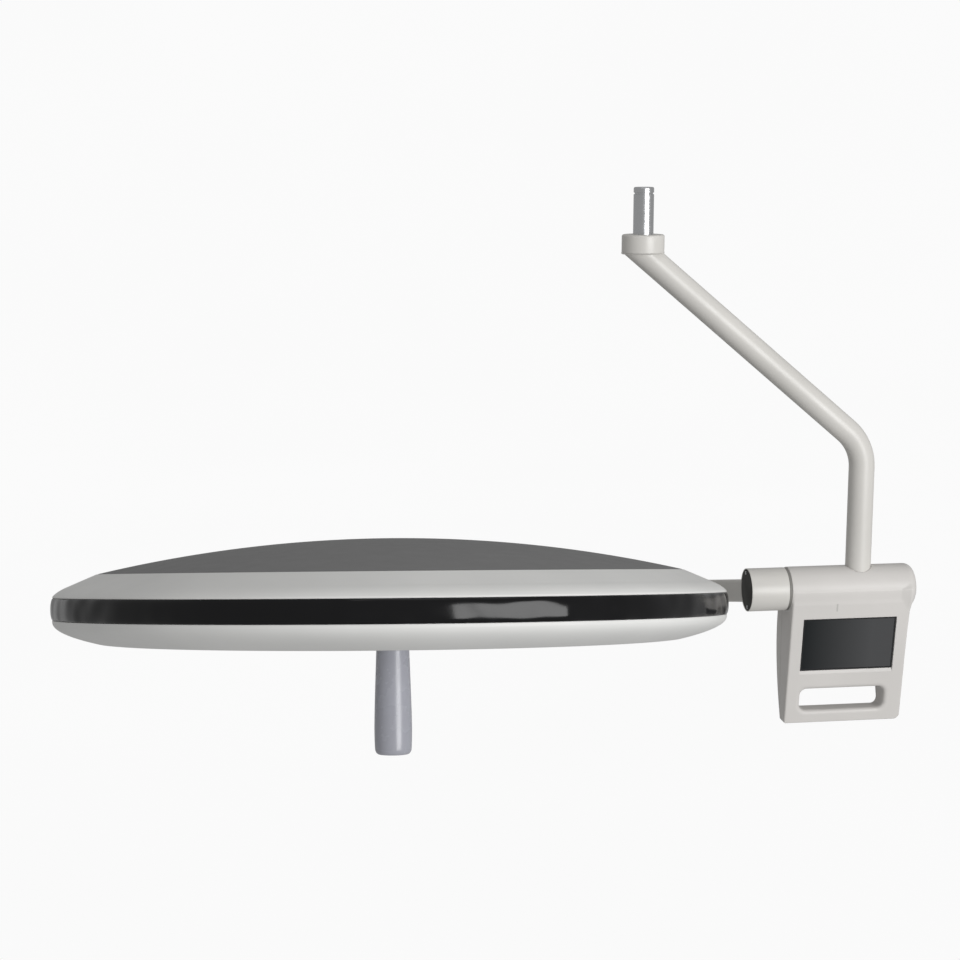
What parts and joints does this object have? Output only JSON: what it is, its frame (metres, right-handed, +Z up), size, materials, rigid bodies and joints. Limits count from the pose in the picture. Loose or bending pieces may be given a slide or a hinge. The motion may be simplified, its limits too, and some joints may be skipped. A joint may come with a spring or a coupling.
{
  "type": "dental operating light",
  "caption": "Thin round dental operating light head in a half yoke, hung from a bent tube through a control box with a touch screen and a finger slot.",
  "frame": {"origin": "on the axis of the pivot pin at the top of the bent tube, at the shoulder that rests on the spring arm", "axes": "+Z up along the pivot pin, +X from the pin towards the control box, along the pitch axis, -Y towards the user in front of the screen"},
  "size_m": [0.8735, 0.7176, 0.5598],
  "materials": {
    "gloss_white": "gloss stove enamel",
    "shell_white": "gloss moulded",
    "dome_grey": "satin painted moulding",
    "band_black": "high gloss",
    "handle_white": "gloss, autoclavable",
    "clear_cover": "clear polycarbonate",
    "screen_glass": "black bordered touch glass",
    "nylon_dark": "fine moulded grain",
    "gasket_rubber": "matt",
    "cable_black": "matt sheath",
    "steel": "turned",
    "zinc": "zinc plated",
    "bronze": "sintered bronze",
    "cast_alu": "as cast",
    "circuit_board": "solder mask",
    "led_yellow": "phosphor",
    "mirror_cup": "metallised"
  },
  "bodies": {
    "mast": {"bent_tube": "gloss_white", "tube_boss": "gloss_white", "pivot_pin": "steel", "swivel_journal": "steel", "swivel_ring": "zinc", "mast_cable": "cable_black"},
    "control_box": {"box_front_shell": "shell_white", "box_back_shell": "shell_white", "box_frame": "cast_alu", "box_screws": "steel", "swivel_bush_upper": "bronze", "swivel_bush_lower": "bronze", "pitch_bush_left": "bronze", "pitch_bush_right": "bronze", "seam_ring": "nylon_dark", "touch_glass": "screen_glass", "display_gasket": "gasket_rubber", "display_module": "steel", "control_board": "circuit_board", "board_spacers": "zinc", "sensor_window": "nylon_dark", "box_harness": "cable_black"},
    "yoke": {"knuckle_housing": "gloss_white", "knuckle_cap": "nylon_dark", "cap_screws": "steel", "pitch_shaft": "steel", "pitch_washers": "steel", "pitch_nut": "zinc", "shaft_screws": "zinc", "yoke_arm": "gloss_white", "arm_screws": "steel", "yoke_cable": "cable_black", "roll_housing": "gloss_white", "roll_bush_near": "bronze", "roll_bush_far": "bronze", "roll_spacer": "nylon_dark", "hub_cap": "nylon_dark"},
    "head": {"dome_cap": "dome_grey", "dome_screws": "steel", "upper_shell": "shell_white", "upper_shell_screws": "steel", "rim_band": "band_black", "lower_shell": "shell_white", "lower_shell_screws": "steel", "lens_cover": "clear_cover", "cover_gasket": "gasket_rubber", "cover_screws": "steel", "head_frame": "cast_alu", "roll_shaft": "steel", "roll_washers_nut": "zinc", "heat_spreader": "cast_alu", "led_boards": "circuit_board", "led_chips": "led_yellow", "reflectors": "mirror_cup", "led_lenses": "clear_cover", "driver_board": "circuit_board", "handle_spigot": "steel", "handle_clip": "steel", "hub_ring": "shell_white"},
    "handle": {"handle": "handle_white"}
  },
  "joints": [
    {"name": "box_swivel", "type": "hinge", "parent": "mast", "child": "control_box", "pos_m": [0.23187, 0, -0.363], "axis": [0, 0, 1], "range_deg": [-150, 150]},
    {"name": "head_pitch", "type": "hinge", "parent": "control_box", "child": "yoke", "pos_m": [-0.25013, 0, -0.363], "axis": [1, 0, 0], "range_deg": [-75, 100]},
    {"name": "head_roll", "type": "hinge", "parent": "yoke", "child": "head", "pos_m": [-0.25013, -0.00035, -0.36446], "axis": [0, 0.9724, -0.2334], "range_deg": [-45, 45]},
    {"name": "handle_pull", "type": "slide", "parent": "head", "child": "handle", "axis": [-0.0227, -0.2334, -0.9721], "range_m": [0, 0.11]}
  ]
}
